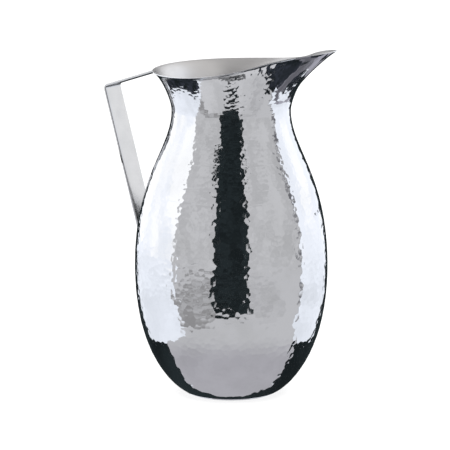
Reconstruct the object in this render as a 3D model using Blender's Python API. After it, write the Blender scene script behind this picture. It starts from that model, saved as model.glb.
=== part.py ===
"""A stainless water pitcher: two pressings welded at the belly, a drawn pouring lip and a strap handle.

Metres, +Z up. The origin is the middle of the flat base, the lip points along +X and the handle along -X.
"""

import math

import bmesh
import bpy
from mathutils import Vector
from mathutils.geometry import interpolate_bezier

# Body outline, outside surface: the radius of the flat base, the belly, the neck and the rim, and the height
# of the stretches between them.
BASE_RADIUS = 0.028
BELLY_RADIUS = 0.065
NECK_RADIUS = 0.040
RIM_RADIUS = 0.053
BOWL_HEIGHT = 0.087
SHOULDER_HEIGHT = 0.106
FLARE_HEIGHT = 0.026

# The outline's slope at both ends, and how fully it bows: how far it holds its direction where it leaves or
# reaches a point, as a share of that stretch's height, or of its change of radius at the base and the rim.
BASE_SLOPE = math.radians(17)
RIM_SLOPE = math.radians(17.5)
BASE_PULL = 0.30
BOWL_PULL = 0.70
SHOULDER_PULL = 0.585
WAIST_PULL = 0.25
NECK_PULL = 0.277
RIM_PULL = 0.43

# Pouring lip, drawn out of the flare: how far it stands out from the rim and above it, how far below the rim
# it starts, and how it falls off on the way down and round to each side of its middle.
LIP_SPREAD = 0.0295
LIP_RISE = 0.0204
LIP_DEPTH = 0.020
LIP_FADE_POWER = 2.2
LIP_SPREAD_ANGLE = math.radians(21)
LIP_SPREAD_POWER = 1.65
LIP_RISE_ANGLE = math.radians(52.5)
LIP_RISE_POWER = 1.5

# Sheet, and the weld that joins the two pressings, far enough below the belly to be clear of the handle.
WALL = 0.0008
SEAM_DROP = 0.013
BEAD_RADIUS = 0.0005

# Handle: one flat strip from the rim to the belly, with one bend. It spreads out this far past the belly.
# The arm's end and the bend's middle lie below the rim, and the foot lies above the belly's widest point.
HANDLE_SPREAD = 0.0333
HANDLE_WIDTH = 0.018
HANDLE_THICKNESS = 0.0015
HANDLE_EDGE = 0.0003
ARM_DROP = 0.0014
BEND_DROP = 0.019
BEND_RADIUS = 0.002
FOOT_RISE = 0.001

# Air left between neighbouring pieces, and how far the handle runs on into the body before it is cut to it.
GAP = 0.0003
OVERRUN = 0.009

# Fineness of the solids.
SEGMENTS = 64
BOWL_STEPS = 15
SHOULDER_STEPS = 18
FLARE_STEPS = 9
BEND_STEPS = 6
BEAD_STEPS = 8
MERGE_DISTANCE = 1e-6

NECK_HEIGHT = BOWL_HEIGHT + SHOULDER_HEIGHT
RIM_HEIGHT = NECK_HEIGHT + FLARE_HEIGHT
SEAM_HEIGHT = BOWL_HEIGHT - SEAM_DROP


def clear_scene():
    for item in list(bpy.data.objects):
        bpy.data.objects.remove(item)


def metal(name, colour, roughness):
    material = bpy.data.materials.new(name)
    material.use_nodes = True
    shader = material.node_tree.nodes["Principled BSDF"]
    shader.inputs["Base Color"].default_value = (*colour, 1.0)
    shader.inputs["Roughness"].default_value = roughness
    shader.inputs["Metallic"].default_value = 1.0
    return material


def add_object(name, data, material=None):
    item = bpy.data.objects.new(name, data)
    bpy.context.collection.objects.link(item)
    if material:
        data.materials.append(material)
    return item


# The outline lies in a half-plane: x is the distance from the body's axis and y is the height.


def towards(slope):
    return Vector((math.cos(slope), math.sin(slope)))


def curve_between(start, start_pull, end, end_pull, steps):
    """Points of a cubic curve that leaves start along start_pull and reaches end along end_pull."""
    return interpolate_bezier(start, start + start_pull, end - end_pull, end, steps + 1)


def body_outline():
    base = Vector((BASE_RADIUS, 0.0))
    belly = Vector((BELLY_RADIUS, BOWL_HEIGHT))
    neck = Vector((NECK_RADIUS, NECK_HEIGHT))
    rim = Vector((RIM_RADIUS, RIM_HEIGHT))
    up = Vector((0.0, 1.0))
    off_base = BASE_PULL * (BELLY_RADIUS - BASE_RADIUS) * towards(BASE_SLOPE)
    to_rim = RIM_PULL * (RIM_RADIUS - NECK_RADIUS) * towards(RIM_SLOPE)
    bowl = curve_between(base, off_base, belly, BOWL_PULL * BOWL_HEIGHT * up, BOWL_STEPS)
    off_belly = SHOULDER_PULL * SHOULDER_HEIGHT * up
    shoulder = curve_between(belly, off_belly, neck, WAIST_PULL * SHOULDER_HEIGHT * up, SHOULDER_STEPS)
    flare = curve_between(neck, NECK_PULL * FLARE_HEIGHT * up, rim, to_rim, FLARE_STEPS)
    return [*bowl, *shoulder[1:], *flare[1:]]


def outline_point(outline, height):
    """The point where the outline reaches a height."""
    for lower, upper in zip(outline, outline[1:]):
        if lower.y <= height <= upper.y:
            return lower.lerp(upper, (height - lower.y) / (upper.y - lower.y))
    raise ValueError("the outline does not reach that height")


def offset_outline(outline, distance):
    """The outline moved outwards, each point along the normal of its two neighbours."""
    moved = []
    for index, point in enumerate(outline):
        before = outline[max(index - 1, 0)]
        after = outline[min(index + 1, len(outline) - 1)]
        along = (after - before).normalized()
        moved.append(point + distance * Vector((along.y, -along.x)))
    return moved


def turned_mesh(name, outline, shape=None):
    """The outline spun once round the Z axis, and then each point moved by the shape function."""
    shell = bmesh.new()
    # Taken from the top down, the outline spins into faces that point outwards.
    points = [shell.verts.new((point.x, 0.0, point.y)) for point in reversed(outline)]
    edges = [shell.edges.new(pair) for pair in zip(points, points[1:])]
    bmesh.ops.spin(
        shell,
        geom=[*points, *edges],
        cent=(0, 0, 0),
        axis=(0, 0, 1),
        angle=math.tau,
        steps=SEGMENTS,
        use_merge=True,
    )
    bmesh.ops.remove_doubles(shell, verts=shell.verts, dist=MERGE_DISTANCE)
    if shape:
        for vertex in shell.verts:
            vertex.co = shape(vertex.co)
    mesh = bpy.data.meshes.new(name)
    shell.to_mesh(mesh)
    shell.free()
    mesh.shade_smooth()
    return mesh


def drawn_lip(point):
    """A point of the round flare moved out and up, most at the rim in the middle of the lip."""
    start = RIM_HEIGHT - LIP_DEPTH
    if point.z <= start:
        return point
    angle = abs(math.atan2(point.y, point.x))
    share = ((point.z - start) / LIP_DEPTH) ** LIP_FADE_POWER
    spread = LIP_SPREAD * share * math.exp(-((angle / LIP_SPREAD_ANGLE) ** LIP_SPREAD_POWER))
    rise = LIP_RISE * share * math.exp(-((angle / LIP_RISE_ANGLE) ** LIP_RISE_POWER))
    return point + spread * Vector((point.x, point.y, 0.0)).normalized() + Vector((0.0, 0.0, rise))


def add_pressing(name, outline, material, shape=None):
    """A sheet piece whose outside is the turned outline."""
    pressing = add_object(name, turned_mesh(name, outline, shape), material)
    sheet = pressing.modifiers.new("sheet", "SOLIDIFY")
    sheet.thickness = WALL
    sheet.offset = -1.0
    sheet.use_even_offset = True
    return pressing


def add_lower_body(outline, material):
    top = outline_point(outline, SEAM_HEIGHT - GAP / 2)
    wall = [point for point in outline if point.y < top.y]
    return add_pressing("lower_body", [Vector((0.0, 0.0)), *wall, top], material)


def add_upper_body(outline, material):
    bottom = outline_point(outline, SEAM_HEIGHT + GAP / 2)
    wall = [point for point in outline if point.y > bottom.y]
    return add_pressing("upper_body", [bottom, *wall], material, drawn_lip)


def add_bead(name, path, material, closed=False):
    """A round bead of weld metal along a path of points."""
    curve = bpy.data.curves.new(name, "CURVE")
    curve.dimensions = "3D"
    curve.bevel_depth = BEAD_RADIUS
    curve.bevel_resolution = 1
    curve.use_fill_caps = True
    spline = curve.splines.new("POLY")
    spline.points.add(len(path) - 1)
    for point, place in zip(spline.points, path):
        point.co = (*place, 1.0)
    spline.use_cyclic_u = closed
    return add_object(name, curve, material)


def add_belly_weld(outline, material):
    """The ring of weld inside the seam. Outside, the real weld is ground flush."""
    radius = outline_point(outline, SEAM_HEIGHT).x - WALL - GAP - BEAD_RADIUS
    turns = [math.tau * step / SEGMENTS for step in range(SEGMENTS)]
    ring = [(radius * math.cos(turn), radius * math.sin(turn), SEAM_HEIGHT) for turn in turns]
    return add_bead("belly_weld", ring, material, closed=True)


class HandlePath:
    """The middle line of the strip, in the half-plane that the handle lies in."""

    def __init__(self, outline):
        self.bend_radius = BEND_RADIUS + HANDLE_THICKNESS / 2
        reach = BELLY_RADIUS + HANDLE_SPREAD
        self.bend = Vector((reach - BEND_RADIUS - HANDLE_THICKNESS, RIM_HEIGHT - BEND_DROP))
        self.arm_end = outline_point(outline, RIM_HEIGHT - ARM_DROP)
        self.foot_end = outline_point(outline, BOWL_HEIGHT + FOOT_RISE)
        self.arm_direction = self.tangent_from(self.arm_end, 1.0)
        self.foot_direction = self.tangent_from(self.foot_end, -1.0)

    def tangent_from(self, point, side):
        """The direction of the straight run from a point to the outside of the bend."""
        across = self.bend - point
        lean = math.asin(self.bend_radius / across.length)
        return towards(math.atan2(across.y, across.x) + side * lean)

    def points(self):
        """From inside the flare, round the bend and down to inside the belly."""
        first = self.arm_end - OVERRUN * self.arm_direction
        last = self.foot_end - OVERRUN * self.foot_direction
        start = math.atan2(self.arm_direction.y, self.arm_direction.x) + math.pi / 2
        end = math.atan2(self.foot_direction.y, self.foot_direction.x) - math.pi / 2
        turns = [start + (end - start) * step / BEND_STEPS for step in range(BEND_STEPS + 1)]
        return [first, *(self.bend + self.bend_radius * towards(turn) for turn in turns), last]


def body_cutter(outline):
    """The outside of the body with the gap added, closed above the rim, to end the handle at the wall."""
    wall = offset_outline(outline, GAP)
    top = RIM_HEIGHT + OVERRUN
    profile = [Vector((0.0, wall[0].y)), *wall, Vector((wall[-1].x, top)), Vector((0.0, top))]
    cutter = add_object("body_cutter", turned_mesh("body_cutter", profile))
    cutter.hide_render = True
    cutter.display_type = "WIRE"
    return cutter


def add_handle(path, cutter, material):
    strip = bmesh.new()
    half = HANDLE_WIDTH / 2
    rows = [[strip.verts.new((-point.x, side, point.y)) for side in (-half, half)] for point in path.points()]
    for (left, right), (next_left, next_right) in zip(rows, rows[1:]):
        strip.faces.new((left, right, next_right, next_left))
    mesh = bpy.data.meshes.new("handle")
    strip.to_mesh(mesh)
    strip.free()
    handle = add_object("handle", mesh, material)
    sheet = handle.modifiers.new("sheet", "SOLIDIFY")
    sheet.thickness = HANDLE_THICKNESS
    sheet.offset = 0.0
    sheet.use_even_offset = True
    edges = handle.modifiers.new("edges", "BEVEL")
    edges.width = HANDLE_EDGE
    edges.segments = 1
    edges.limit_method = "ANGLE"
    edges.angle_limit = math.radians(60)
    ends = handle.modifiers.new("ends", "BOOLEAN")
    ends.operation = "DIFFERENCE"
    ends.solver = "EXACT"
    ends.object = cutter
    return handle


def corner_point(wall, across, end, direction, away):
    """Where the wall, at a distance across the strip, crosses a line beside the strip's middle line."""
    normal = Vector((-direction.y, direction.x))
    cut = [Vector((math.sqrt(point.x**2 - across**2), point.y)) for point in wall if point.x > abs(across)]
    found = []
    for lower, upper in zip(cut, cut[1:]):
        low, high = ((point - end).dot(normal) - away for point in (lower, upper))
        if low * high < 0:
            found.append(lower.lerp(upper, low / (low - high)))
    return min(found, key=lambda point: (point - end).length)


def add_corner_weld(name, outline, end, direction, side, material):
    """A fillet weld across the strip, in the corner between one of its faces and the wall."""
    wall = offset_outline(outline, GAP + BEAD_RADIUS)
    away = side * (HANDLE_THICKNESS / 2 + GAP + BEAD_RADIUS)
    half = HANDLE_WIDTH / 2 - BEAD_RADIUS
    path = []
    for step in range(BEAD_STEPS + 1):
        across = half * (2 * step / BEAD_STEPS - 1)
        corner = corner_point(wall, across, end, direction, away)
        path.append((-corner.x, across, corner.y))
    return add_bead(name, path, material)


def main():
    clear_scene()
    polished = metal("polished_steel", (0.80, 0.81, 0.83), 0.08)
    brushed = metal("satin_steel", (0.74, 0.75, 0.77), 0.25)
    weld = metal("weld_metal", (0.60, 0.60, 0.61), 0.45)
    outline = body_outline()
    path = HandlePath(outline)
    add_lower_body(outline, polished)
    add_upper_body(outline, polished)
    add_belly_weld(outline, weld)
    add_handle(path, body_cutter(outline), brushed)
    add_corner_weld("arm_weld", outline, path.arm_end, path.arm_direction, -1.0, weld)
    add_corner_weld("foot_weld_upper", outline, path.foot_end, path.foot_direction, 1.0, weld)
    add_corner_weld("foot_weld_lower", outline, path.foot_end, path.foot_direction, -1.0, weld)


main()
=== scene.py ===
import math

import bpy
import numpy as np
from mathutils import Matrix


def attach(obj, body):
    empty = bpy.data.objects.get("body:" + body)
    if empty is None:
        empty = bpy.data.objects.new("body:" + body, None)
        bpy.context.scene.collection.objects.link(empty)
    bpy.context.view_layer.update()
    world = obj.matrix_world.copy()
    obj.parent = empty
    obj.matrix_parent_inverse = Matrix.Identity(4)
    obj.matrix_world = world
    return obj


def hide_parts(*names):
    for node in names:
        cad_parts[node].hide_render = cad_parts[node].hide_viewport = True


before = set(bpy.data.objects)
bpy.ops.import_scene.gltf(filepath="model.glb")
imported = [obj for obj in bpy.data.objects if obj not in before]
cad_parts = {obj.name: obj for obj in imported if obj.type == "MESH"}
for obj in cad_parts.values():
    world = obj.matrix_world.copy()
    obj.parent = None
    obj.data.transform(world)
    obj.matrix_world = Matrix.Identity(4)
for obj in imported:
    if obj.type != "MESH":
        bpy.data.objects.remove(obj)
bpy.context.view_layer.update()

# The body's outline: base, belly, neck and rim radii, the heights between them, and how each curve bows.
body = {
    "baseRadius": 0.028,
    "bellyRadius": 0.065,
    "neckRadius": 0.040,
    "rimRadius": 0.053,
    "bowlHeight": 0.087,
    "shoulderHeight": 0.106,
    "flareHeight": 0.026,
    "baseSlope": math.radians(17),
    "rimSlope": math.radians(17.5),
    "basePull": 0.30,
    "bowlPull": 0.70,
    "shoulderPull": 0.585,
    "waistPull": 0.25,
    "neckPull": 0.277,
    "rimPull": 0.43,
    "wall": 0.0008,
    "seamDrop": 0.013,
}

# The pouring lip: how far it stands out and up, how deep it starts, and how it fades round and down.
lip = {
    "spread": 0.0295,
    "rise": 0.0204,
    "depth": 0.020,
    "fadePower": 2.2,
    "spreadAngle": math.radians(21),
    "spreadPower": 1.65,
    "riseAngle": math.radians(52.5),
    "risePower": 1.5,
}

neckHeight = body["bowlHeight"] + body["shoulderHeight"]
rimHeight = neckHeight + body["flareHeight"]
seamHeight = body["bowlHeight"] - body["seamDrop"]


def cubicCurve(start, startPull, end, endPull, count):
    # A cubic curve: four points weighted by (1-t)^3, 3t(1-t)^2, 3t^2(1-t) and t^3.
    t = np.linspace(0, 1, count)[:, None]
    near, far = start + startPull, end - endPull
    return (1 - t) ** 3 * start + 3 * (1 - t) ** 2 * t * near + 3 * (1 - t) * t**2 * far + t**3 * end


def slopeStep(slope, length):
    return length * np.array([math.cos(slope), math.sin(slope)])


def makeOutline(count=2000):
    # Radius and height along the outside, with the distance along it from the middle of the base.
    base = np.array([body["baseRadius"], 0.0])
    belly = np.array([body["bellyRadius"], body["bowlHeight"]])
    neck = np.array([body["neckRadius"], neckHeight])
    rim = np.array([body["rimRadius"], rimHeight])
    up = np.array([0.0, 1.0])
    offBase = slopeStep(body["baseSlope"], body["basePull"] * (belly[0] - base[0]))
    toRim = slopeStep(body["rimSlope"], body["rimPull"] * (rim[0] - neck[0]))
    toBelly = body["bowlPull"] * body["bowlHeight"] * up
    offBelly = body["shoulderPull"] * body["shoulderHeight"] * up
    toNeck = body["waistPull"] * body["shoulderHeight"] * up
    offNeck = body["neckPull"] * body["flareHeight"] * up
    disc = np.linspace([0.0, 0.0], base, count // 4)[:-1]
    bowl = cubicCurve(base, offBase, belly, toBelly, count)
    shoulder = cubicCurve(belly, offBelly, neck, toNeck, count)[1:]
    flare = cubicCurve(neck, offNeck, rim, toRim, count)[1:]
    points = np.vstack([disc, bowl, shoulder, flare])
    steps = np.linalg.norm(np.diff(points, axis=0), axis=1)
    distance = np.concatenate([[0.0], np.cumsum(steps)])
    return {"distance": distance, "radius": points[:, 0], "height": points[:, 1]}


outline = makeOutline()
fullDistance = outline["distance"][-1]


def distanceAt(height):
    # How far along the outline a height is reached, past the flat base.
    return float(np.interp(height, outline["height"][1:], outline["distance"][1:]))


def radiusAt(height):
    return np.interp(height, outline["height"], outline["radius"])


def smoothSurface(angle, distance):
    # The round body at an angle and a distance along the outline. Above the lip's start each point moves out
    # by spread * share * exp(-(angle / spreadAngle)^power), and up in the same way by its rise.
    radius = np.interp(distance, outline["distance"], outline["radius"])
    height = np.interp(distance, outline["distance"], outline["height"])
    turned = np.abs((angle + math.pi) % math.tau - math.pi)
    share = np.clip((height - rimHeight + lip["depth"]) / lip["depth"], 0, 1) ** lip["fadePower"]
    spread = lip["spread"] * share * np.exp(-((turned / lip["spreadAngle"]) ** lip["spreadPower"]))
    rise = lip["rise"] * share * np.exp(-((turned / lip["riseAngle"]) ** lip["risePower"]))
    reach = radius + spread
    return np.stack([reach * np.cos(angle), reach * np.sin(angle), height + rise], -1)


def unit(vectors):
    return vectors / np.maximum(np.linalg.norm(vectors, axis=-1, keepdims=True), 1e-12)


def surfaceNormal(surface, angle, distance, step=2e-5):
    # The cross product of the two central differences, which points outwards.
    inner = np.clip(distance - step, step, fullDistance)
    outer = np.minimum(distance + step, fullDistance)
    turn = step / body["bellyRadius"]
    around = surface(angle + turn, distance) - surface(angle - turn, distance)
    along = surface(angle, outer) - surface(angle, inner)
    return unit(np.cross(around, along))


# Hammer marks: rows of shallow round dents, each moved a little from its place. The sheet was hammered before
# it was drawn in at the neck, so the dents there are smaller and shallower.
dents = {
    "bowlSpacing": 0.0037,
    "neckSpacing": 0.0024,
    "depth": 0.000095,
    "width": 0.72,
    "scatter": 0.85,
    "ridge": 9.0,
    "unevenness": 0.5,
    "patchiness": 0.55,
    "patchSize": 0.012,
    "seed": 11,
    "sineSteps": (127.1, 311.7, 74.7),
    "sineScale": 43758.5453,
    "bowlLimits": (-3, 1.5),
}


def randomFrom(row, column, salt):
    # A repeatable number from 0 to 1 for each row and column: the fraction of a large sine.
    perRow, perColumn, perSalt = dents["sineSteps"]
    value = np.sin(row * perRow + column * perColumn + (salt + dents["seed"]) * perSalt) * dents["sineScale"]
    return value - np.floor(value)


def spacingAt(height):
    # Even over the bowl, then less and less up to the neck.
    share = np.clip((height - body["bowlHeight"]) / body["shoulderHeight"], 0, 1)
    change = dents["neckSpacing"] - dents["bowlSpacing"]
    return dents["bowlSpacing"] + change * share * share * (3 - 2 * share)


def makeRows():
    # The distance of each row of dents along the outline.
    rows = [body["baseRadius"]]
    while rows[-1] < fullDistance + dents["neckSpacing"]:
        rows.append(rows[-1] + float(spacingAt(np.interp(rows[-1], outline["distance"], outline["height"]))))
    return np.array(rows)


dentRows = makeRows()
dentRadii = np.interp(dentRows, outline["distance"], outline["radius"])
dentGaps = np.gradient(dentRows)
dentCounts = np.maximum(np.round(math.tau * dentRadii / dentGaps), 8)


def patchStrength(angle, distance, radius):
    # Some stretches were struck harder: one plus a share of three slow waves that cross at odd angles.
    across, along = radius * np.sin(angle) / dents["patchSize"], distance / dents["patchSize"]
    depthwise = radius * np.cos(angle) / dents["patchSize"]
    waves = np.sin(across + 1.3 * along) + np.sin(1.7 * depthwise - along)
    waves = waves + np.sin(0.8 * across - 1.1 * depthwise)
    return 1 + dents["patchiness"] * waves / 3


def dentDepth(angle, distance):
    # The twelve nearest dents are bowls of depth * (1 - (d / reach)^2); they are joined by a soft maximum,
    # log(sum(exp(k * bowl))) / k, so that ridges between them stay rounded.
    angle, distance = np.broadcast_arrays(angle, distance)
    nearest = np.clip(np.searchsorted(dentRows, distance) - 1, 0, len(dentRows) - 1)
    radius = np.interp(distance, outline["distance"], outline["radius"])
    total = np.zeros(angle.shape)
    for rowStep in (-1, 0, 1, 2):
        row = np.clip(nearest + rowStep, 0, len(dentRows) - 1)
        count, gap = dentCounts[row], dentGaps[row]
        place = angle / math.tau * count + 0.5 * (row % 2)
        for columnStep in (-1, 0, 1):
            column = np.floor(place) + columnStep
            key = column % count
            offset = dents["scatter"] * (randomFrom(row, key, 1) - 0.5)
            lift = dents["scatter"] * (randomFrom(row, key, 2) - 0.5)
            strength = 1 + dents["unevenness"] * (randomFrom(row, key, 3) - 0.5)
            sideways = (column + 0.5 + offset - place) * math.tau * radius / count
            upwards = dentRows[row] + lift * gap - distance
            reach = dents["width"] * gap
            bowl = strength * (1 - (sideways**2 + upwards**2) / reach**2)
            total += np.exp(dents["ridge"] * np.clip(bowl, *dents["bowlLimits"]))
    depth = dents["depth"] * (dentGaps[nearest] / dents["bowlSpacing"]) ** 2
    return depth * patchStrength(angle, distance, radius) * (np.log(total) / dents["ridge"] + 1.0)


def hammeredSurface(angle, distance):
    # The smooth body, pushed in by the dents. They fade out on the flat base and in the last step to the rim.
    fade = np.clip((distance - body["baseRadius"]) / dents["bowlSpacing"], 0, 1)
    fade = fade * np.clip((fullDistance - distance) / dents["neckSpacing"], 0, 1)
    inwards = surfaceNormal(smoothSurface, angle, distance)
    return smoothSurface(angle, distance) - (fade * dentDepth(angle, distance))[..., None] * inwards


def innerSurface(angle, distance):
    return smoothSurface(angle, distance) - body["wall"] * surfaceNormal(smoothSurface, angle, distance)


# Meshes are made of sections: rows of points all round the axis, with the normals and the material of each.
# The material is its place in the piece's own list.
columns = 512
onPolished, onSatin, onEdge = 0, 1, 2
angles = np.linspace(0, math.tau, columns, endpoint=False)[None, :]


def makeSection(surface, start, end, rows, material=onPolished, flip=1.0):
    distance = np.linspace(start, end, rows)[:, None]
    points = surface(angles, distance)
    return points, flip * surfaceNormal(surface, angles, distance), material


def bridgeSection(lower, upper, direction):
    # A plain ring between the last row of one section and the first row of the next.
    points = np.stack([lower, upper])
    return points, np.broadcast_to(direction, points.shape), onPolished


def rimSection(outer, inner, rows):
    # The cut edge, rounded over as half a circle: middle + half * (cos a * across + sin a * up).
    middle, across = (outer + inner) / 2, (outer - inner) / 2
    half = np.linalg.norm(across, axis=-1, keepdims=True)
    alongRim = unit(np.roll(middle, -1, 0) - np.roll(middle, 1, 0))
    up = unit(np.cross(unit(across), alongRim))
    turn = np.linspace(0, math.pi, rows)[:, None, None]
    normals = np.cos(turn) * unit(across) + np.sin(turn) * up
    return middle + half * normals, normals, onEdge


def addMesh(name, points, faces, loopNormals=None, faceMaterials=None, materials=(), uv=None):
    mesh = bpy.data.meshes.new(name)
    mesh.from_pydata(points, [], faces)
    mesh.polygons.foreach_set("use_smooth", np.ones(len(mesh.polygons), bool))
    for material in materials:
        mesh.materials.append(material)
    if faceMaterials is not None:
        mesh.polygons.foreach_set("material_index", np.asarray(faceMaterials, np.int32))
    if uv is not None:
        layer = mesh.uv_layers.new(name="UVMap")
        layer.data.foreach_set("uv", np.asarray(uv, np.float32).ravel())
    mesh.update()
    if loopNormals is not None:
        mesh.normals_split_custom_set(loopNormals)
    piece = bpy.data.objects.new(name, mesh)
    bpy.context.collection.objects.link(piece)
    return piece


def ringedMesh(name, sections, materials, poles=None):
    # Sections follow each other and share their border rows. Without poles the last row meets the first;
    # with poles, a fan closes the first row and the last row at the axis.
    points, faces, normals, slots = [], [], [], []
    used = 0
    ring = np.arange(columns)
    nextRing = (ring + 1) % columns
    lastSection = len(sections) - 1
    for number, (rows, rowNormals, material) in enumerate(sections):
        keep = len(rows) if poles is not None and number == lastSection else len(rows) - 1
        points.append(rows[:keep].reshape(-1, 3))
        index = used + np.arange(len(rows))[:, None] * columns + ring
        if poles is None and number == lastSection:
            index[-1] = ring
        corners = [index[:-1], index[:-1][:, nextRing], index[1:][:, nextRing], index[1:]]
        faces.append(np.stack(corners, -1).reshape(-1, 4))
        corners = [rowNormals[:-1], rowNormals[:-1][:, nextRing], rowNormals[1:][:, nextRing], rowNormals[1:]]
        normals.append(np.stack(corners, 2).reshape(-1, 3))
        slots.append(np.full((len(rows) - 1) * columns, material))
        used += keep * columns
    faces = np.concatenate(faces).tolist()
    if poles is not None:
        first, last = poles
        points.append(np.array([first, last]))
        faces += np.stack([np.full(columns, used), nextRing, ring], -1).tolist()
        top = used - columns
        faces += np.stack([np.full(columns, used + 1), top + ring, top + nextRing], -1).tolist()
        normals.append(np.tile([0.0, 0.0, -1.0], (3 * columns, 1)))
        normals.append(np.tile([0.0, 0.0, 1.0], (3 * columns, 1)))
        slots += [np.full(columns, sections[0][2]), np.full(columns, sections[-1][2])]
    points, normals, slots = (np.concatenate(blocks) for blocks in (points, normals, slots))
    return addMesh(name, points, faces, normals, slots, materials)


class Shader:
    # A node tree's socket that takes part in Python expressions; numbers alone stay numbers.
    def __init__(self, tree, socket):
        self.tree, self.socket = tree, socket

    def node(self, kind, inputs=(), output=0, **settings):
        made = self.tree.nodes.new(kind)
        for key, value in settings.items():
            setattr(made, key, value)
        for key, value in dict(inputs).items():
            if isinstance(value, Shader):
                self.tree.links.new(value.socket, made.inputs[key])
            else:
                made.inputs[key].default_value = value
        return Shader(self.tree, made.outputs[output])

    def maths(self, operation, other):
        return self.node("ShaderNodeMath", {0: self, 1: other}, operation=operation)

    def __add__(self, other):
        return self.maths("ADD", other)

    __radd__ = __add__

    def __mul__(self, other):
        return self.maths("MULTIPLY", other)

    __rmul__ = __mul__

    def between(self, low, high):
        # 0 below low, 1 above high, smooth in between.
        values = {"Value": self, "From Min": low, "From Max": high}
        return self.node("ShaderNodeMapRange", values, interpolation_type="SMOOTHSTEP")

    def noise(self, scale, detail=3.0, roughness=0.5, stretch=(1, 1, 1)):
        placed = self.node("ShaderNodeVectorMath", {0: self, 1: stretch}, operation="MULTIPLY")
        values = {"Vector": placed, "Scale": scale, "Detail": detail, "Roughness": roughness}
        return self.node("ShaderNodeTexNoise", values)

    def mixColour(self, first, second):
        # The first colour where this is 0 and the second where it is 1; the first may itself be a pattern.
        first = first if isinstance(first, Shader) else (*first, 1.0)
        values = {0: self, 6: first, 7: (*second, 1.0)}
        return self.node("ShaderNodeMix", values, output=2, data_type="RGBA")

    def bump(self, strength, distance):
        return self.node("ShaderNodeBump", {"Height": self, "Strength": strength, "Distance": distance})


def newMaterial(name, slot):
    material = bpy.data.materials.new(name)
    material.use_nodes = True
    tree = material.node_tree
    shader = tree.nodes["Principled BSDF"]
    shader.inputs["Metallic"].default_value = 1.0
    coordinates = tree.nodes.new("ShaderNodeTexCoord")
    place = Shader(tree, coordinates.outputs["UV" if slot == "uv" else "Object"])
    return material, shader, place


def connect(shader, **inputs):
    for key, value in inputs.items():
        place = shader.inputs[key.replace("_", " ")]
        value.tree.links.new(value.socket, place)


def polishedMaterial():
    # Mirror polish: thin clouds of smear in the roughness and hair-fine scratches.
    material, shader, place = newMaterial("hammered mirror steel", "object")
    cloud = place.noise(38.0, 4.0, 0.6).between(0.42, 0.72)
    smear = place.noise(240.0, 2.0, 0.5, (1, 1, 0.35)).between(0.45, 0.8)
    scratch = place.noise(900.0, 2.0, 0.6, (1, 1, 0.08))
    connect(
        shader,
        Base_Color=cloud.mixColour((0.66, 0.665, 0.68), (0.61, 0.615, 0.625)),
        Roughness=0.045 + 0.035 * cloud + 0.02 * smear,
        Normal=scratch.bump(0.04, 0.0001),
    )
    return material


def satinMaterial():
    # Inside: spun satin, with fine rings round the axis and soft patches.
    material, shader, place = newMaterial("satin inside steel", "object")
    rings = place.noise(520.0, 3.0, 0.6, (0.04, 0.04, 1))
    patch = place.noise(30.0, 3.0, 0.5).between(0.3, 0.7)
    connect(
        shader,
        Base_Color=patch.mixColour((0.69, 0.68, 0.67), (0.63, 0.62, 0.61)),
        Roughness=0.34 + 0.06 * rings + 0.05 * patch,
        Normal=rings.bump(0.10, 0.0002),
    )
    return material


def strapMaterial():
    # Brushed lengthwise, so the pattern follows the strip's own map: u along it and v across it, in metres.
    material, shader, place = newMaterial("brushed strap steel", "uv")
    lines = place.noise(2600.0, 3.0, 0.65, (0.02, 1, 1))
    worn = place.noise(60.0, 3.0, 0.5).between(0.35, 0.75)
    connect(
        shader,
        Base_Color=worn.mixColour((0.49, 0.487, 0.487), (0.455, 0.453, 0.453)),
        Roughness=0.14 + 0.08 * lines + 0.05 * worn,
        Normal=lines.bump(0.12, 0.0002),
    )
    return material


def edgeMaterial():
    # Cut and rolled-over edge of the sheet, buffed.
    material, shader, place = newMaterial("buffed edge steel", "object")
    grain = place.noise(700.0, 3.0, 0.6)
    connect(
        shader,
        Base_Color=grain.mixColour((0.80, 0.80, 0.81), (0.74, 0.74, 0.75)),
        Roughness=0.36 + 0.10 * grain,
        Normal=grain.bump(0.05, 0.0001),
    )
    return material


def weldMaterial():
    # Cleaned weld: duller, a little straw-coloured where it was hot.
    material, shader, place = newMaterial("brushed weld steel", "object")
    heat = place.noise(260.0, 3.0, 0.5).between(0.4, 0.7)
    grain = place.noise(1500.0, 4.0, 0.7)
    connect(
        shader,
        Base_Color=heat.mixColour((0.58, 0.57, 0.56), (0.55, 0.50, 0.43)),
        Roughness=0.34 + 0.18 * grain,
        Normal=grain.bump(0.3, 0.0003),
    )
    return material


polished = polishedMaterial()
satin = satinMaterial()
strapSteel = strapMaterial()
edgeSteel = edgeMaterial()
weldSteel = weldMaterial()
print("materials made")

# The steps between rows outside and inside, the rows of the rounded rim and of the flat base, the radius at
# which the base's rows start, and the height that divides the upper pressing's two pieces.
bands = {
    "rowStep": 0.00070,
    "neckRowStep": 0.00056,
    "insideStep": 0.004,
    "mouthInsideStep": 0.0018,
    "rimRows": 7,
    "baseRows": 14,
    "firstRadius": 0.002,
    "splitHeight": 0.150,
}


def rowsFor(start, end, step):
    return max(3, int(round(abs(end - start) / step)) + 1)


def addBand(name, start, end, rowStep, insideStep, rim=False):
    # A ring of wall between two distances: dented outside, plain inside, and flat or rounded ends.
    outside = makeSection(hammeredSurface, start, end, rowsFor(start, end, rowStep))
    inside = makeSection(innerSurface, end, start, rowsFor(start, end, insideStep), onSatin, -1.0)
    if rim:
        top = rimSection(outside[0][-1], inside[0][0], bands["rimRows"])
    else:
        top = bridgeSection(outside[0][-1], inside[0][0], (0.0, 0.0, 1.0))
    bottom = bridgeSection(inside[0][-1], outside[0][0], (0.0, 0.0, -1.0))
    return ringedMesh(name, [outside, top, inside, bottom], (polished, satin, edgeSteel))


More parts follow.
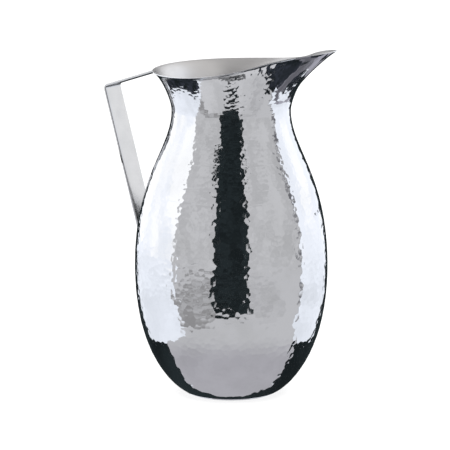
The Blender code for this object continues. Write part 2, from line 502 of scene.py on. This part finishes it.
def addBowl(name, end):
    # The lower pressing: flat base, dented outside, flat top edge at the seam, plain inside.
    first, edge = bands["firstRadius"], body["baseRadius"]
    base = makeSection(hammeredSurface, first, edge, bands["baseRows"])
    outside = makeSection(hammeredSurface, edge, end, rowsFor(edge, end, bands["rowStep"]))
    inside = makeSection(innerSurface, end, first, rowsFor(0, end, bands["insideStep"]), onSatin, -1.0)
    top = bridgeSection(outside[0][-1], inside[0][0], (0.0, 0.0, 1.0))
    poles = ((0.0, 0.0, 0.0), (0.0, 0.0, body["wall"]))
    return ringedMesh(name, [base, outside, top, inside], (polished, satin), poles)


seamDistance = distanceAt(seamHeight)
splitDistance = distanceAt(bands["splitHeight"])
rimDistance = fullDistance - body["wall"] / 2  # the rounded edge then ends at the full distance
bowl = addBowl("bowl", seamDistance)
belly = addBand("belly_and_shoulder", seamDistance, splitDistance, bands["rowStep"], bands["insideStep"])
mouth = addBand(
    "neck_and_mouth", splitDistance, rimDistance, bands["neckRowStep"], bands["mouthInsideStep"], rim=True
)
print("body made, faces:", [len(piece.data.polygons) for piece in (bowl, belly, mouth)])

# The strap: one flat strip, from under the rim out to one tight bend and down to the belly.
strap = {
    "spread": 0.0333,
    "width": 0.018,
    "thickness": 0.0015,
    "edge": 0.00045,
    "armDrop": 0.0014,
    "bendDrop": 0.019,
    "bendRadius": 0.002,
    "footRise": 0.001,
    "rowStep": 0.0012,
    "bendRows": 22,
    "cornerColumns": 5,
    "faceColumns": 9,
    "edgeColumns": 3,
    "sharpAngle": math.radians(50),
    "slideReach": 0.012,
    "slideHalvings": 40,
    "sink": 0.0003,
}


def tangentDirection(point, centre, radius, side):
    # The straight run from a point that just touches a circle on one side.
    across = centre - point
    lean = math.asin(radius / np.linalg.norm(across))
    heading = math.atan2(across[1], across[0]) + side * lean
    return np.array([math.cos(heading), math.sin(heading)])


def strapLine():
    # The middle line in the handle's half-plane, as distance from the axis and height, with its directions.
    middle = strap["bendRadius"] + strap["thickness"] / 2
    reach = body["bellyRadius"] + strap["spread"]
    bend = np.array([reach - strap["bendRadius"] - strap["thickness"], rimHeight - strap["bendDrop"]])
    armHeight = rimHeight - strap["armDrop"]
    footHeight = body["bowlHeight"] + strap["footRise"]
    armEnd = np.array([radiusAt(armHeight), armHeight])
    footEnd = np.array([radiusAt(footHeight), footHeight])
    armWay = tangentDirection(armEnd, bend, middle, 1.0)
    footWay = tangentDirection(footEnd, bend, middle, -1.0)
    start = math.atan2(armWay[1], armWay[0]) + math.pi / 2
    end = math.atan2(footWay[1], footWay[0]) - math.pi / 2
    turns = np.linspace(start, end, strap["bendRows"])
    arc = bend + middle * np.stack([np.cos(turns), np.sin(turns)], -1)
    armRows = rowsFor(0, np.linalg.norm(arc[0] - armEnd), strap["rowStep"])
    footRows = rowsFor(0, np.linalg.norm(arc[-1] - footEnd), strap["rowStep"])
    arm = np.linspace(armEnd, arc[0], armRows)[:-1]
    foot = np.linspace(arc[-1], footEnd, footRows)[1:]
    points = np.vstack([arm, arc, foot])
    ways = np.vstack([np.tile(armWay, (len(arm), 1)),
                      np.stack([np.sin(turns), -np.cos(turns)], -1),
                      np.tile(-footWay, (len(foot), 1))])
    return points, ways


def roundedSection(width, thickness, edge):
    # Round the four corners of a flat rectangle: (across the strip, through its thickness).
    turns = np.linspace(0, math.pi / 2, strap["cornerColumns"])
    corners = []
    for number, (side, face) in enumerate(((1, 1), (-1, 1), (-1, -1), (1, -1))):
        heading = turns + number * math.pi / 2
        middle = (side * (width / 2 - edge), face * (thickness / 2 - edge))
        corners.append(np.stack([middle[0] + edge * np.cos(heading), middle[1] + edge * np.sin(heading)], -1))
    section = []
    for number, corner in enumerate(corners):
        following = corners[(number + 1) % 4]
        count = strap["faceColumns"] if number % 2 == 0 else strap["edgeColumns"]
        flat = np.linspace(corner[-1], following[0], count)[1:-1]
        section += [corner, flat]
    return np.vstack(section)


def slideToWall(points, way, sink):
    # Moves the points along one direction to the body's outside, found by halving a range, plus the sink.
    low = np.full(len(points), -strap["slideReach"])
    high = np.full(len(points), strap["slideReach"])
    for _ in range(strap["slideHalvings"]):
        middle = (low + high) / 2
        moved = points + middle[:, None] * way
        outside = np.hypot(moved[:, 0], moved[:, 1]) > radiusAt(moved[:, 2])
        low, high = np.where(outside, middle, low), np.where(outside, high, middle)
    return points + (low + sink)[:, None] * way


def gridMesh(name, grid, materials, uv=None, sharp=None):
    # Rows of closed rings, with a fan at each end.
    rows, across = grid.shape[:2]
    ring = np.arange(across)
    nextRing = (ring + 1) % across
    index = np.arange(rows)[:, None] * across + ring
    corners = [index[:-1], index[:-1][:, nextRing], index[1:][:, nextRing], index[1:]]
    faces = np.stack(corners, -1).reshape(-1, 4).tolist()
    points = np.vstack([grid.reshape(-1, 3), grid[0].mean(0), grid[-1].mean(0)])
    count = rows * across
    faces += np.stack([np.full(across, count), nextRing, ring], -1).tolist()
    last = index[-1]
    faces += np.stack([np.full(across, count + 1), last, last[nextRing]], -1).tolist()
    loops = None
    if uv is not None:
        spread = np.vstack([uv.reshape(-1, 2), uv[0].mean(0), uv[-1].mean(0)])
        loops = spread[np.concatenate([np.ravel(face) for face in faces])]
    piece = addMesh(name, points, faces, materials=materials, uv=loops)
    if sharp:
        piece.data.set_sharp_from_angle(angle=sharp)
    return piece


def addStrap():
    # The rounded section carried along the middle line, with both end rings moved up to the wall.
    line, ways = strapLine()
    through = np.stack([-ways[:, 1], ways[:, 0]], -1)
    section = roundedSection(strap["width"], strap["thickness"], strap["edge"])
    across, off = section[:, 0], section[:, 1]
    flat = line[:, None, :] + off[None, :, None] * through[:, None, :]
    side = np.broadcast_to(across, flat.shape[:2])
    grid = np.stack([-flat[..., 0], side, flat[..., 1]], -1)
    toWall = {0: np.array([ways[0, 0], 0.0, -ways[0, 1]]), -1: np.array([-ways[-1, 0], 0.0, ways[-1, 1]])}
    for end, way in toWall.items():
        grid[end] = slideToWall(grid[end], way, strap["sink"])
    gone = np.concatenate([[0.0], np.cumsum(np.linalg.norm(np.diff(line, axis=0), axis=1))])
    around = np.concatenate([[0.0], np.cumsum(np.linalg.norm(np.diff(section, axis=0), axis=1))])
    uv = np.stack(np.broadcast_arrays(gone[:, None], around[None, :]), -1)
    return gridMesh("strap_handle", grid, (strapSteel,), uv, strap["sharpAngle"]), line, ways


handle, line, ways = addStrap()
print("strap made")

# Weld beads: round, with the ripple of each pass. The one inside the seam is lower and wider.
bead = {
    "radius": 0.0009,
    "ripple": 0.12,
    "rippleStep": 0.0011,
    "rows": 90,
    "sides": 14,
    "sideways": (0.3, 0.1, 0.7),
    "taperPower": 8,
    "taperLeast": 0.02,
    "cornerLift": 0.35,
    "cornerSink": 0.5,
    "bellyRadius": 0.0008,
    "bellyRows": 720,
    "bellySink": 0.0002,
    "bellyHigh": 0.6,
    "bellyWide": 1.5,
}


def beadGrid(path, radius):
    # A ring of points round each point of the path, its radius rippled and tapered at the ends.
    way = unit(np.gradient(path, axis=0))
    up = unit(np.cross(way, np.roll(way, 1, axis=-1) + np.array(bead["sideways"])))
    out = np.cross(way, up)
    gone = np.concatenate([[0.0], np.cumsum(np.linalg.norm(np.diff(path, axis=0), axis=1))])
    ripple = 1 + bead["ripple"] * (np.abs(np.sin(math.pi * gone / bead["rippleStep"])) - 0.5)
    fullness = 1 - (2 * gone / gone[-1] - 1) ** bead["taperPower"]
    taper = np.sqrt(np.clip(fullness, bead["taperLeast"], 1))
    turn = np.linspace(0, math.tau, bead["sides"], endpoint=False)[None, :, None]
    size = (radius * ripple * taper)[:, None, None]
    return path[:, None] + size * (np.cos(turn) * up[:, None] + np.sin(turn) * out[:, None])


def cornerPath(end, way, side):
    # Along the corner between a face of the strip and the wall.
    across = np.linspace(-1, 1, bead["rows"]) * (strap["width"] / 2 - bead["radius"] / 2)
    through = np.array([-way[1], way[0]]) * side
    start = end + through * (strap["thickness"] / 2 + bead["cornerLift"] * bead["radius"])
    points = np.stack([np.full(len(across), -start[0]), across, np.full(len(across), start[1])], -1)
    toWall = np.array([way[0], 0.0, -way[1]])
    return slideToWall(points, toWall, -bead["cornerSink"] * bead["radius"])


def addBead(name, end, way, side):
    grid = beadGrid(cornerPath(end, way, side), bead["radius"])
    return gridMesh(name, grid, (weldSteel,))


def addBellyBead():
    # Inside the seam: a full ring, low and rippled, its middle just inside the wall's inner face.
    count = bead["bellyRows"]
    turn = np.linspace(0, math.tau, count, endpoint=False)
    radius = radiusAt(seamHeight) - body["wall"]
    turned = np.linspace(0, math.tau, bead["sides"], endpoint=False)[None, :]
    ripple = 1 + bead["ripple"] * np.abs(np.sin(turn * radius * math.pi / bead["rippleStep"]))[:, None]
    size = bead["bellyRadius"] * ripple
    reach = radius - bead["bellySink"] + size * np.cos(turned) * bead["bellyHigh"]
    height = seamHeight + size * np.sin(turned) * bead["bellyWide"]
    grid = np.stack([reach * np.cos(turn)[:, None], reach * np.sin(turn)[:, None], height], -1)
    index = np.arange(count * bead["sides"]).reshape(count, -1)
    corners = [index, np.roll(index, -1, 0), np.roll(np.roll(index, -1, 0), -1, 1), np.roll(index, -1, 1)]
    faces = np.stack(corners, -1).reshape(-1, 4).tolist()
    return addMesh("belly_bead", grid.reshape(-1, 3), faces, materials=(weldSteel,))


armBead = addBead("arm_bead", line[0], ways[0], -1.0)
footBeadUpper = addBead("foot_bead_upper", line[-1], -ways[-1], 1.0)
footBeadLower = addBead("foot_bead_lower", line[-1], -ways[-1], -1.0)
bellyBead = addBellyBead()
print("beads made")

for piece, nodes, slot in (
    (bowl, ["lower_body"], "hammered_steel"),
    (belly, ["upper_body"], "hammered_steel"),
    (mouth, ["upper_body"], "hammered_steel"),
    (handle, ["handle"], "handle_steel"),
    (armBead, ["arm_weld"], "weld_steel"),
    (footBeadUpper, ["foot_weld_upper"], "weld_steel"),
    (footBeadLower, ["foot_weld_lower"], "weld_steel"),
    (bellyBead, ["belly_weld"], "weld_steel"),
):
    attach(piece, "root")
    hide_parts(*nodes)

# The studio. Headings are measured round from the camera's side of the object, positive to its right, and
# places on the floor are metres to the right of the object and metres away behind it.
studio = {
    "cameraHeading": 0.5913,
    "cameraDistance": 2.7663,
    "cameraHeight": 0.650,
    "cameraPitch": 0.1913,
    "lens": 335.3,
    "sensorWidth": 36.0,
    "shiftX": -0.0138,
    "shiftY": 0.0011,
    "floorSize": 8.0,
    "floorColour": (0.30, 0.30, 0.30),
    "floorGlow": 0.80,
    "skyStrength": 0.80,
    "lampPower": 26.0,
    "lampSize": 1.6,
    "lampHeight": 1.7,
    "lampHeadings": (-115, 120, 0),
    "wallRadius": 0.90,
    "wallHeight": 1.10,
    "wallSteps": 12,
    "ceilingHeight": 1.12,
    "ceilingSplit": 0.2,
    "topFlagHeights": (0.66, 0.84),
    "behindFlagTop": 0.55,
    "neckCards": 0.150,
    "lowFlag": 0.125,
    "lift": 0.0004,
    "unevenness": (0.38, 0.62),
    "sideFade": (0.25, 0.85),
    "boardFade": (0.075, 0.125),
    "softboxWhite": (1.50, 1.51, 1.53),
    "softboxBlue": (1.28, 1.33, 1.43),
    "sideWhite": (1.13, 1.18, 1.27),
    "boardGrey": (0.74, 0.74, 0.76),
    "shadedGrey": (0.565, 0.555, 0.595),
    "cornerGrey": (0.40, 0.395, 0.40),
    "cornerPale": (0.629, 0.629, 0.646),
    "spotGrey": (0.407, 0.407, 0.418),
    "wallGrey": (0.745, 0.745, 0.76),
    "seamGrey": (0.20, 0.20, 0.22),
    "tipGrey": (0.52, 0.515, 0.59),
    "ceilingGrey": (0.46, 0.455, 0.46),
    "ceilingWhite": (0.92, 0.91, 0.91),
    "flagBlack": (0.014, 0.019, 0.021),
    "flagBlue": (0.042, 0.048, 0.064),
}


def stagePoint(right, away, height=0.0):
    turn = studio["cameraHeading"]
    x = right * math.cos(turn) - away * math.sin(turn)
    y = right * math.sin(turn) + away * math.cos(turn)
    return x, y, height


def headingPoint(heading, radius, height=0.0):
    # A place at a heading from the camera's side: 0 is towards the camera, 90 degrees is to its right.
    return stagePoint(radius * math.sin(heading), -radius * math.cos(heading), height)


def stagePiece(name, points, faces, material):
    piece = addMesh(name, np.array(points), faces, materials=(material,))
    return piece


def floorMaterial():
    # Pale and evenly lit: it glows a little by itself, so that hardly any shadow shows on it.
    material = bpy.data.materials.new("pale floor")
    material.use_nodes = True
    shader = material.node_tree.nodes["Principled BSDF"]
    shader.inputs["Base Color"].default_value = (*studio["floorColour"], 1.0)
    shader.inputs["Roughness"].default_value = 1.0
    shader.inputs["Specular IOR Level"].default_value = 0.0
    shader.inputs["Emission Color"].default_value = (1.0, 1.0, 1.0, 1.0)
    shader.inputs["Emission Strength"].default_value = studio["floorGlow"]
    return material


def cardMaterial(name, colours, scale, upwardsOnly=False, far=None, fade=None):
    # A glowing card, uneven between two colours as lit cloth or painted board is. With a far colour it turns
    # to that colour between the two distances of the fade, measured from the object's middle.
    material = bpy.data.materials.new(name)
    material.use_nodes = True
    tree = material.node_tree
    tree.nodes.clear()
    place = Shader(tree, tree.nodes.new("ShaderNodeTexCoord").outputs["Object"])
    colour = place.noise(scale, 2.0, 0.5).between(*studio["unevenness"]).mixColour(*colours)
    if far:
        distance = place.node("ShaderNodeVectorMath", {0: place}, output=1, operation="LENGTH")
        colour = distance.between(*fade).mixColour(colour, far)
    glow = place.node("ShaderNodeEmission", {"Color": colour})
    if upwardsOnly:
        behind = Shader(tree, tree.nodes.new("ShaderNodeNewGeometry").outputs["Backfacing"])
        clear = place.node("ShaderNodeBsdfTransparent")
        glow = place.node("ShaderNodeMixShader", {0: behind, 1: glow, 2: clear})
    output = tree.nodes.new("ShaderNodeOutputMaterial")
    tree.links.new(glow.socket, output.inputs["Surface"])
    return material


def shades(colour, low, high):
    # A darker and a lighter shade of one of the studio's colours.
    return [tuple(part * factor for part in studio[colour]) for factor in (low, high)]


def onlyReflected(piece):
    piece.visible_camera = False
    piece.visible_diffuse = False
    piece.visible_shadow = False
    piece.visible_transmission = False


def floorCard(name, corners, layer, material, height=0.0):
    # A flat card. A higher layer lies a little above a lower one and hides it where they overlap.
    points = [stagePoint(right, away, height + layer * studio["lift"]) for right, away in corners]
    onlyReflected(stagePiece(name, points, [tuple(range(len(points)))], material))


def wallCard(name, start, end, material, low=0.0, high=studio["wallHeight"]):
    # Part of the round wall, from one heading to another, in degrees.
    steps = studio["wallSteps"]
    headings = np.radians(np.linspace(start, end, steps))
    bottom = [headingPoint(heading, studio["wallRadius"], low) for heading in headings]
    top = [headingPoint(heading, studio["wallRadius"], high) for heading in headings]
    faces = [(i, i + 1, steps + i + 1, steps + i) for i in range(steps - 1)]
    onlyReflected(stagePiece(name, bottom + top, faces, material))


def addBoards():
    # On the floor: a grey board in front with two darker corners, pale boards at both sides, and a thin dark
    # seam across the right one.
    board = cardMaterial("front board", shades("shadedGrey", 0.96, 1.06), 14.0,
                         far=studio["boardGrey"], fade=studio["boardFade"])
    side = cardMaterial("side board", shades("sideWhite", 0.95, 1.08), 6.0,
                        far=studio["softboxBlue"], fade=studio["sideFade"])
    shaded = cardMaterial("shaded board", shades("boardGrey", 0.84, 0.96), 16.0)
    corner = cardMaterial("board corner", (studio["cornerGrey"], studio["cornerPale"]), 14.0)
    seam = cardMaterial("board seam", (studio["seamGrey"], studio["wallGrey"]), 9.0)
    far = studio["wallRadius"]
    floorCard("board_front", [(-far, -far), (far, -far), (far, 0.0), (-far, 0.0)], 1, board)
    floorCard("board_corner_left", [
        (-0.110, -0.100), (-0.060, -0.150), (-0.080, -0.320), (-0.200, -0.560), (-0.500, -0.500),
        (-0.300, -0.125),
    ], 2, corner)
    floorCard("board_corner_right", [
        (0.095, -0.120), (0.200, -0.100), (0.360, -0.300), (0.180, -0.520), (0.080, -0.300),
    ], 2, shaded)
    floorCard("board_left", [
        (-0.105, -0.028), (-0.108, -0.095), (-0.300, -0.122), (-far, -0.345), (-far, far), (0.0, far),
        (0.0, -0.028),
    ], 3, side)
    floorCard("board_right", [
        (0.105, -0.028), (0.0, -0.028), (0.0, far), (far, far), (far, 0.030), (0.400, -0.018),
        (0.150, -0.048),
    ], 3, side)
    floorCard("seam_right", [
        (0.150, -0.050), (0.400, -0.034), (far, -0.014), (far, 0.030), (0.400, -0.018), (0.150, -0.046),
    ], 4, seam)


def addFloorFlags():
    # Black on the floor: a wedge that widens away in front, and one that widens away behind from a crescent
    # at the object's foot. The crescent is painted shade: it stands for the shaded floor under the belly.
    black = cardMaterial("black floor flag", shades("flagBlack", 1.0, 1.8), 8.0)
    far = studio["wallRadius"]
    # Its crescent round the foot is painted shade, for the shaded floor under the belly seen in the
    # reflection.
    floorCard("flag_and_shade_under", [
        (-0.105, -0.028), (-0.030, -0.028), (-0.018, -0.0325), (0.0, -0.034), (0.018, -0.0325),
        (0.030, -0.028), (0.105, -0.028), (0.110, 0.050), (0.150, 0.120), (0.320, 0.500), (0.560, far),
        (-0.560, far), (-0.320, 0.500), (-0.150, 0.120), (-0.112, 0.050),
    ], 4, black)
    floorCard("flag_front", [
        (-0.078, -0.200), (-0.110, -0.300), (-0.190, -0.500), (-0.330, -far), (0.300, -far),
        (0.165, -0.500), (0.100, -0.300), (0.072, -0.195),
    ], 4, black)


def addNeckCards():
    # Level with the neck and seen only from above, so they show in the flare and lip and not in the belly.
    blue = cardMaterial("blue flag", (studio["flagBlack"], studio["flagBlue"]), 60.0, upwardsOnly=True)
    lipFlag = cardMaterial("lip flag", shades("tipGrey", 0.34, 0.5), 40.0, upwardsOnly=True)
    tip = cardMaterial("tip flag", shades("tipGrey", 0.75, 1.1), 40.0, upwardsOnly=True)
    dots = cardMaterial("spotted flag", (studio["flagBlack"], studio["spotGrey"]), 170.0, upwardsOnly=True)
    pane = cardMaterial("pale board", shades("boardGrey", 1.02, 1.16), 30.0, upwardsOnly=True)
    floorCard("flag_right", [
        (0.044, -0.070), (0.054, -0.082), (0.058, -0.089), (0.063, -0.076), (0.0815, -0.072),
        (0.0837, -0.045), (0.084, -0.022), (0.0905, 0.002), (0.0935, 0.024), (0.096, 0.045),
        (0.099, 0.098), (0.090, 0.098), (0.080, 0.030), (0.075, 0.0), (0.067, -0.028), (0.044, -0.038),
    ], 0, blue, studio["lowFlag"])
    floorCard("flag_lip", [
        (0.055, -0.035), (0.067, -0.037), (0.0735, -0.027), (0.080, -0.020), (0.088, -0.010), (0.088, 0.0),
        (0.0835, 0.0), (0.078, -0.012), (0.0725, -0.018), (0.062, 0.020), (0.055, 0.020),
    ], 0, lipFlag, studio["neckCards"])
    floorCard("flag_tip", [
        (0.083, -0.014), (0.094, -0.006), (0.0935, 0.045), (0.100, 0.055), (0.100, 0.090), (0.088, 0.090),
        (0.087, 0.020), (0.083, 0.0),
    ], 1, tip, studio["neckCards"])
    floorCard("flag_left", [
        (-0.050, -0.022), (-0.060, 0.080), (-0.116, 0.080), (-0.108, 0.040), (-0.102, 0.010),
        (-0.091, -0.020), (-0.083, -0.043), (-0.066, -0.057), (-0.052, -0.046),
    ], 0, blue, studio["neckCards"])
    floorCard("board_neck", [
        (-0.050, -0.050), (-0.068, -0.062), (-0.068, -0.088), (-0.034, -0.110), (-0.018, -0.0932),
        (0.016, -0.0932), (0.030, -0.110), (0.068, -0.094), (0.045, -0.080), (0.045, -0.050), (0.0, -0.058),
    ], 0, pane, studio["neckCards"])
    floorCard("flag_middle_spots", [
        (-0.020, -0.056), (-0.010, -0.072), (0.0, -0.088), (0.034, -0.085), (0.030, -0.066), (0.0, -0.060),
    ], 1, dots, studio["neckCards"])


def addWalls():
    # All round: a soft box at each side, grey walls and black flags in front, and black below grey behind.
    softbox = cardMaterial("softbox cloth", (studio["softboxBlue"], studio["softboxWhite"]), 2.2)
    wall = cardMaterial("grey wall", shades("wallGrey", 0.90, 1.06), 5.0)
    edge = cardMaterial("wall edge", (studio["cornerGrey"], studio["cornerPale"]), 14.0)
    seam = cardMaterial("wall seam", (studio["seamGrey"], studio["wallGrey"]), 9.0)
    black = cardMaterial("black wall flag", shades("flagBlack", 1.0, 1.8), 8.0)
    wallCard("softbox_left", -150, -70, softbox)
    wallCard("wall_left", -70, -20, wall)
    wallCard("wall_edge", -72, -69.5, edge)
    wallCard("flag_middle", -20, 20, black)
    wallCard("flag_top", -30, 26, black, *studio["topFlagHeights"])
    wallCard("wall_right", 20, 83, wall)
    wallCard("wall_seam", 83, 91, seam)
    wallCard("softbox_right", 91, 150, softbox)
    wallCard("flag_behind", 150, 210, black, 0.0, studio["behindFlagTop"])
    wallCard("wall_behind", 150, 210, wall, studio["behindFlagTop"])


def addCeiling():
    # Dim over most of the object and pale at its right.
    dim = cardMaterial("dim ceiling", shades("ceilingGrey", 0.85, 1.15), 3.0)
    pale = cardMaterial("pale ceiling", shades("ceilingWhite", 0.92, 1.0), 3.0)
    far, split, height = studio["wallRadius"], studio["ceilingSplit"], studio["ceilingHeight"]
    floorCard("ceiling_left", [(-far, -far), (split, -far), (split, far), (-far, far)], 0, dim, height)
    floorCard("ceiling_right", [(split, -far), (far, -far), (far, far), (split, far)], 0, pale, height)


def addCards():
    # What the mirror sees. Every card is seen only in reflections: it lights and shades nothing else.
    addBoards()
    addFloorFlags()
    addNeckCards()
    addWalls()
    addCeiling()


def addLamps():
    # Three large soft lamps: left, right and in front. Each is as high as it is far away, so half a right
    # angle aims it at the object.
    tilt = math.pi / 4
    for number, heading in enumerate(studio["lampHeadings"]):
        lamp = bpy.data.lights.new(f"lamp_{number}", "AREA")
        lamp.shape = "DISK"
        lamp.size = studio["lampSize"]
        lamp.energy = studio["lampPower"]
        item = bpy.data.objects.new(f"lamp_{number}", lamp)
        item.location = headingPoint(math.radians(heading), studio["lampHeight"], studio["lampHeight"])
        item.rotation_euler = (tilt, 0.0, math.radians(heading) + studio["cameraHeading"])
        item.visible_glossy = False
        bpy.context.collection.objects.link(item)


def addStudio():
    half = studio["floorSize"] / 2
    corners = [(-half, -half, 0), (half, -half, 0), (half, half, 0), (-half, half, 0)]
    stagePiece("floor", corners, [(0, 1, 2, 3)], floorMaterial())
    addCards()
    addLamps()
    world = bpy.data.worlds.new("studio")
    bpy.context.scene.world = world
    world.use_nodes = True
    sky = world.node_tree.nodes["Background"]
    sky.inputs["Color"].default_value = (1.0, 1.0, 1.0, 1.0)
    sky.inputs["Strength"].default_value = studio["skyStrength"]


def addCamera():
    camera = bpy.data.objects.new("camera", bpy.data.cameras.new("camera"))
    bpy.context.collection.objects.link(camera)
    camera.location = headingPoint(0.0, studio["cameraDistance"], studio["cameraHeight"])
    camera.rotation_euler = (math.pi / 2 - studio["cameraPitch"], 0.0, studio["cameraHeading"])
    camera.data.lens = studio["lens"]
    camera.data.sensor_width = studio["sensorWidth"]
    camera.data.shift_x = studio["shiftX"]
    camera.data.shift_y = studio["shiftY"]
    bpy.context.scene.camera = camera


addStudio()
addCamera()
bpy.context.scene.view_settings.view_transform = "Standard"
print("studio made")
